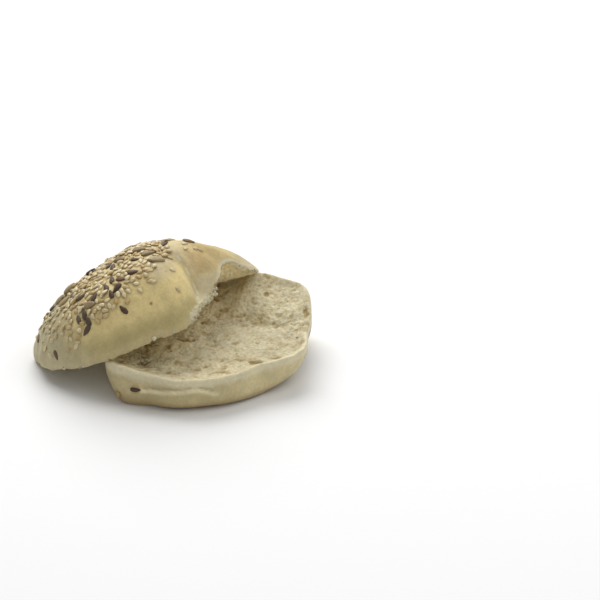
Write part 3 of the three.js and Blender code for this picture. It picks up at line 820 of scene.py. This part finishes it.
def top_bread(paint, loose_paint, seeds):
    """The top half, and the bits of crumb on its torn edge."""
    under, dome, faces, share, angle = top_shell()
    cut = len(under)
    points = join([under, dome])
    out = normals(points, faces)
    frayed = along_rim(FRAYED, angle)
    width = np.maximum(0.055 + grain(dome, "frayed"), 0.008)
    torn_crust = frayed * fade(0.6, 1.1, (1 - share) / width)
    on_crumb = join([np.maximum(fade(0.985, 1.0, share), frayed), torn_crust])

    relief = crumb_relief(points)
    torn_colour = crumb_tint(dome, relief[cut:] + 0.1)
    crust = toward(dome_tint(dome, 1 - share, angle, seeds), torn_colour, on_crumb[cut:])
    # painted warm bounce light on the crumb under the top half where it is seen through the arch, most where
    # it lies higher
    painted_bounce = 0.4 + 0.45 * smooth(4.0, 9.0, under[:, 2]) + grain(under, "painted_bounce")
    painted_bounce = painted_bounce * smooth(0.45, 0.8, share) * along_rim(ARCH_BOUNCE_LIGHT, angle)
    crumb = toward(crumb_tint(under, relief[:cut]) * 1.08, CRUMB_BOUNCE_LIGHT, painted_bounce)
    crumb = toward(crumb, crust, 1 - on_crumb[:cut])

    rough_tip = grain(points, "tip") * fade(-50, -36, points[:, 0])
    height = relief * on_crumb + (grain(points, "crust") + rough_tip) * (1 - on_crumb)
    local = points + out * height[:, None]
    near_rim = join([smooth(0.93, 1.0, share), fade(0.0, 0.07, 1 - share)])
    both = np.tile(angle, 2)
    local[:, 2] += near_rim * grain(local, "ragged") * (0.45 + along_rim(RAGGED, both))
    tufts = grain(local, "tufts") * along_rim(SHAGGY, both)
    local[:, 2] -= near_rim * along_rim(SHREDS, both) * smooth(-0.6, 0.4, grain(local, "shreds"))
    local += out * (near_rim * tufts)[:, None]
    placed = local @ TURN.T + MIDDLE
    placed[:, 2] = np.maximum(placed[:, 2], 0)
    values = {"crumb": on_crumb, "tint": join([crumb, crust])}
    mesh_piece("top_bread", placed, faces, paint, "top_half", values)
    chance = smooth(0.984, 0.995, share) * (0.06 + along_rim(CRUMBLED, angle))
    bits("top_crumbs", placed[cut:], (out @ TURN.T)[cut:], chance, loose_paint, "top_half")


def bits(name, points, out, chance, paint, replaced):
    """Small torn lumps on a surface, more of them where `chance` is higher."""
    rule = BITS[name]
    draw = Drawing(rule["seed"])
    small, large = rule["sizes"]
    form, form_faces = seed_form("bit")
    total = np.cumsum(chance)
    made, faces, tint = [], [], []
    for number in range(rule["count"]):
        i = int(np.searchsorted(total, draw() * total[-1]))
        size = small + (large - small) * draw() ** 2
        ahead = unit(draw.any_way())
        across = unit(np.cross(out[i], ahead))
        shape = form * np.array([0.7 + 0.9 * draw(), 0.6 + 0.6 * draw(), 0.7])
        turned = shape @ np.stack([np.cross(across, out[i]), across, out[i]]) * size
        here = points[i] - out[i] * BITS["sunk"] * size + turned
        made.append(here + size * shift(here / size, "bit"))
        faces.append(form_faces + number * len(form))
        tone = np.array(CRUMB_LIGHT) * (0.8 + 0.25 * draw())
        tint.append(plain(tone, form))
    placed = join(made)
    placed[:, 2] = np.maximum(placed[:, 2], 0)
    values = {"crumb": np.ones(len(placed)), "tint": join(tint)}
    mesh_piece(name, placed, join(faces), paint, replaced, values)


# ------------ seeds
def seed_form(kind):
    """A flattened drop one unit long, wide and high: points along, across and out, and faces."""
    rule = KINDS[kind]
    sides, rings = rule["sides"], rule["rings"]
    turns = 2 * pi * np.arange(sides) / sides
    points = [(-0.5, 0.0, 0.0)]
    for i in range(1, rings + 1):
        t = -cos(pi * i / (rings + 1))
        r = sqrt(1 - t * t) * (1 - rule["tip"] * t)
        points += [(t / 2, r * cos(a) / 2, r * sin(a) / 2) for a in turns]
    points.append((0.5, 0.0, 0.0))
    k = np.arange(sides)
    after = (k + 1) % sides
    last = len(points) - 1
    start = triangles(np.zeros(sides, int), 1 + after, 1 + k)
    end = triangles(np.full(sides, last), last - sides + k, last - sides + after)
    return np.array(points), join([start, bands(rings, 1, sides), end])


def heading_of(degrees):
    return np.array([cos(radians(degrees)), sin(radians(degrees)), 0.0])


def room_beside(kind, apart, other):
    """How near the middle of a seed may come to the middle of another one."""
    return apart / 2 + (apart / 2 if other == kind else KINDS[other]["length"] * PATCH["clear"])


def scatter(seeds, draw, jitter, kind, wanted, apart, nearest, raised):
    """Adds seeds of a kind in the patch wherever a draw falls in it and finds room."""
    draws = Drawing(draw.state)
    rolls = np.array([[draws() for _ in range(4)] for _ in range(PATCH["tries"])])
    u, v = 2 * rolls[:, 0] - 1, 2 * rolls[:, 1] - 1
    x = PATCH["centre"][0] + PATCH["across"][0] * PATCH["reach"] * u
    y = PATCH["centre"][1] + PATCH["across"][1] * PATCH["reach"] * v
    d, up = on_dome(x, y)
    at, out, _ = seat_on(top_dome, d, up)
    away = np.hypot(u, v)
    fits = (rolls[:, 2] <= fade(*PATCH["edge"], away)) & (y >= nearest) & (up >= PATCH["lowest"])
    if raised:
        thin = SPARSE["left"] + (1 - SPARSE["left"]) * smooth(*SPARSE["x"], x)
        fits = fits & (rolls[:, 2] < thin * fade(*PATCH["raised_edge"], away))
    left = wanted
    for i in range(PATCH["tries"]):
        if left == 0:
            break
        for _ in range(4):
            draw()
        if not fits[i]:
            continue
        places = np.array([seed[1] for seed in seeds])
        room = np.array([room_beside(kind, apart, seed[0]) for seed in seeds])
        if (np.linalg.norm(places - at[i], axis=1) < room).any():
            continue
        lean = PATCH["lean"] * raised * jitter.any_way()
        place = at[i] + out[i] * raised * jitter()
        seeds.append((kind, place, unit(out[i] + lean), heading_of(360 * rolls[i, 3])))
        left -= 1


def top_seeds():
    """Where each seed of the top half lies: kind, place, way out of the crust, heading."""
    draw, jitter = Drawing(PATCH["seed"]), Drawing(PATCH["jitter"])
    seeds = []

    def lay(kind, rows):
        for x, y, heading, *raised in rows:
            d, up = on_dome(np.array([float(x)]), np.array([float(y)]))
            at, out, _ = seat_on(top_dome, d, up)
            seeds.append((kind, at[0] + out[0] * sum(raised), out[0], heading_of(heading)))

    for kind, rows in PLACED.items():
        lay(kind, rows)
    for row in SCATTERED:
        scatter(seeds, draw, jitter, *row)
    lay("sesame", LONE)
    lay("flake", FLAKES)
    for kind, rows in RAISED.items():
        lay(kind, rows)
    return seeds


def seed_points(kind, at, out, ahead, size):
    """One seed where it lies: points, faces, and 0 for each point on top and 1 for each below."""
    rule = KINDS[kind]
    form, faces = seed_form(kind)
    # how far each point lies on the lower side, where the seed is painted in shade
    under = fade(-0.22, 0.3, form[:, 2])
    if kind == "sunflower":  # ridges along the kernel
        turns = np.arctan2(form[:, 2], form[:, 1])
        form = form * np.stack([np.ones(len(form)), *[1 + 0.05 * np.cos(5 * turns + 0.6)] * 2], axis=-1)
    across = unit(np.cross(out, ahead))
    along = np.cross(across, out)
    scale = np.array([rule["length"], rule["width"], rule["height"]]) * size
    middle = at + out * 0.06 * rule["height"]
    points = middle + (form * scale) @ np.stack([along, across, out])
    return points + rule["uneven"] * shift(points, "seed"), faces, under


def seed_piece(name, kind, seeds, paint, replaced):
    """The seeds of a kind on one half, each a little different."""
    draw = Drawing(len(seeds) + 3)
    rule = KINDS[kind]
    on_top = replaced == "top_half"
    toasted = kind == "sesame" and not on_top
    points, faces, tone, low, veil = [], [], [], [], []
    first = 0
    for _, at, out, ahead in seeds:
        size = SEED_SIZE["toasted"] if toasted else SEED_SIZE["least"] + SEED_SIZE["more"] * draw()
        made, made_faces, under = seed_points(kind, at, out, ahead, size)
        points.append(made)
        faces.append(made_faces + first)
        listed = kind != "sesame" and any(hypot(at[0] - x, at[1] - y) < 1 for x, y in BROWN)
        brown = 1.0 if listed or toasted else min(1.0, rule["brown"] * draw() ** 1.4)
        tone.append(np.full(len(made), brown))
        low.append(under)
        coated = rule["coat"] * on_top * (1 - between(-30, 23, 14, at[0]))
        veil.append(np.full(len(made), coated * (0.3 + 0.7 * draw())))
        first += len(made)
    placed = join(points)
    if on_top:
        placed = placed @ TURN.T + MIDDLE
    values = {"tone": join(tone), "under": join(low), "veil": join(veil)}
    mesh_piece(name, placed, join(faces), paint, replaced, values)


def stray_seed(kind, d, up, aside, paint):
    """One seed on the crust of the bottom half."""
    at, out, side = seat_on(bottom_wall, np.array([d]), np.array([up]))
    above = np.cross(out[0], side[0])
    ahead = side[0] * cos(radians(aside)) + above * sin(radians(aside))
    one = [(kind, at[0], out[0], ahead)]
    seed_piece("stray_" + kind, kind, one, paint, "bottom_half")


# ------------ materials
def put(tree, node, values):
    """Sets inputs of a node to plain values, or links other sockets to them."""
    for name, value in values.items():
        if isinstance(value, bpy.types.NodeSocket):
            tree.links.new(value, node.inputs[name])
        else:
            node.inputs[name].default_value = value


def add(tree, kind, output, values, **settings):
    """A new node, of which one output is given back."""
    node = tree.nodes.new("ShaderNode" + kind)
    for name, value in settings.items():
        setattr(node, name, value)
    put(tree, node, values)
    return node.outputs[output]


def new_paint(name, roughness, specular):
    material = bpy.data.materials.new(name)
    material.use_nodes = True
    tree = material.node_tree
    shader = tree.nodes["Principled BSDF"]
    put(tree, shader, {"Roughness": roughness, "Specular IOR Level": specular})
    return material, tree, shader


def attribute(tree, name, output="Fac"):
    return add(tree, "Attribute", output, {}, attribute_name=name)


def texture(tree, scale, roughness=0.55):
    where = add(tree, "TexCoord", "Object", {})
    values = {"Scale": scale, "Detail": 3.0, "Roughness": roughness, "Vector": where}
    return add(tree, "TexNoise", "Fac", values)


def ramp(tree, source, low, high, dark=0.0, light=1.0):
    values = {"Value": source, "From Min": low, "From Max": high, "To Min": dark, "To Max": light}
    return add(tree, "MapRange", "Result", values)


def mix(tree, factor, first, second, blend="MIX"):
    """Colours or sockets, mixed by a number or a socket."""
    first, second = ((*colour, 1.0) if isinstance(colour, tuple) else colour for colour in (first, second))
    values = {"Factor": factor, 6: first, 7: second}
    return add(tree, "Mix", 2, values, data_type="RGBA", blend_type=blend)


def bump(tree, source, strength, distance):
    values = {"Strength": strength, "Distance": distance, "Height": source}
    return add(tree, "Bump", "Normal", values)


def bread_paint(name, glow):
    """Bread in the colours of its points, with a finer grain on crust than on crumb."""
    material, tree, shader = new_paint(name, 0.6, 0.3)
    crumb = attribute(tree, "crumb")
    smooth_grain, torn_grain = texture(tree, 900.0), texture(tree, 640.0, 0.6)
    skin = ramp(tree, smooth_grain, 0.3, 0.7, 0.94, 1.06)
    flesh = mix(tree, ramp(tree, torn_grain, 0.34, 0.64), (0.87, 0.83, 0.75), (1.08, 1.08, 1.1))
    speckle = mix(tree, crumb, skin, flesh)
    cloudy = ramp(tree, texture(tree, 120.0), 0.3, 0.7, 0.94, 1.06)
    colour = mix(tree, 1.0, attribute(tree, "tint", "Color"), speckle, "MULTIPLY")
    colour = mix(tree, 1.0, colour, cloudy, "MULTIPLY")
    rough = ramp(tree, crumb, 0.0, 1.0, 0.52, 0.9)
    depth = mix(tree, crumb, ramp(tree, smooth_grain, 0.0, 1.0, 0.0, 0.35), torn_grain)
    put(tree, shader, {"Base Color": colour, "Roughness": rough, "Normal": bump(tree, depth, 0.7, 0.0007)})
    glowing = {"Subsurface Weight": glow, "Subsurface Radius": (1.0, 0.7, 0.4), "Subsurface Scale": 0.0012}
    put(tree, shader, glowing)
    return material


def seed_paint(name, light, dark, below, roughness, specular):
    """Seeds: lighter and browner ones, dark specks, painted shade on their lower side, and some with flour on
    them.
    """
    material, tree, shader = new_paint(name, roughness, specular)
    colour = mix(tree, attribute(tree, "tone"), light, dark)
    spots = ramp(tree, texture(tree, 900.0), 0.35, 0.7, 0.0, 0.35)
    colour = mix(tree, spots, colour, dark)
    # painted shade on the lower side of each seed
    colour = mix(tree, attribute(tree, "under"), colour, below)
    colour = mix(tree, attribute(tree, "veil"), colour, TIP)
    put(tree, shader, {"Base Color": colour, "Normal": bump(tree, texture(tree, 1800.0), 0.4, 0.0002)})
    return material


# ------------ build
bottom_paint = bread_paint("pale_bread", 0.2)
top_paint = bread_paint("golden_bread", 0.2)
bits_paint = bread_paint("loose_crumb", 0.0)
seed_paints = {kind: seed_paint(*row) for kind, row in SEED_PAINTS.items()}

bottom_bread(bottom_paint, bits_paint)
seeds = top_seeds()
top_bread(top_paint, bits_paint, seeds)
for kind, name in PIECES:
    chosen = [seed for seed in seeds if seed[0] == kind]
    seed_piece(name, kind, chosen, seed_paints[kind], "top_half")
for kind, d, up, aside in STRAY:
    stray_seed(kind, d, up, aside, seed_paints[kind])

# ------------ stage
AIM = (-ORIGIN[0] * MM, -ORIGIN[1] * MM, 0.0)  # the point in the middle of the picture
ELEVATION = radians(28)
DISTANCE = 0.7932
FIELD = radians(21)
# Soft lights: name, azimuth, elevation, distance, size and power.
LAMPS = (("key", 106, 50, 1.4, 1.4, 20.0), ("side", 350, 55, 1.3, 1.0, 4.5))
SKY = 0.34  # even light from all round
FLOOR = 3.0  # how far it reaches to each side


def stage():
    mesh = bpy.data.meshes.new("floor")
    corners = [(-FLOOR, -FLOOR, 0), (FLOOR, -FLOOR, 0), (FLOOR, FLOOR, 0), (-FLOOR, FLOOR, 0)]
    mesh.from_pydata(corners, [], [(0, 1, 2, 3)])
    floor = new_object("floor", mesh)
    material, tree, shader = new_paint("white_floor", 0.9, 0.1)
    put(tree, shader, {"Base Color": (0.9, 0.9, 0.9, 1)})
    mesh.materials.append(material)


def stand(thing, aim, away, distance):
    """Stands a lamp or the camera some way off a point, looking at it."""
    thing.location = Vector(aim) + away * distance
    thing.rotation_mode = "QUATERNION"
    thing.rotation_quaternion = (-away).to_track_quat("-Z", "Y")


def lamp(name, azimuth, elevation, distance, size, power):
    """A round soft light that looks at the bread; azimuth 0 is along +X, 90 behind it."""
    data = bpy.data.lights.new(name, "AREA")
    data.shape = "DISK"
    data.size = size
    data.energy = power
    light = new_object(name, data)
    turn, rise = radians(azimuth), radians(elevation)
    away = Vector((cos(rise) * cos(turn), cos(rise) * sin(turn), sin(rise)))
    stand(light, (0, 0, 0), away, distance)


def camera():
    data = bpy.data.cameras.new("camera")
    data.sensor_width = 36
    data.lens = data.sensor_width / 2 / tan(FIELD / 2)
    viewer = new_object("camera", data)
    stand(viewer, AIM, Vector((0, -cos(ELEVATION), sin(ELEVATION))), DISTANCE)
    bpy.context.scene.camera = viewer


stage()
camera()
for row in LAMPS:
    lamp(*row)
world = bpy.data.worlds.new("world")
bpy.context.scene.world = world
world.use_nodes = True
put(world.node_tree, world.node_tree.nodes["Background"], {"Color": (1, 1, 1, 1), "Strength": SKY})
bpy.context.scene.view_settings.view_transform = "Standard"
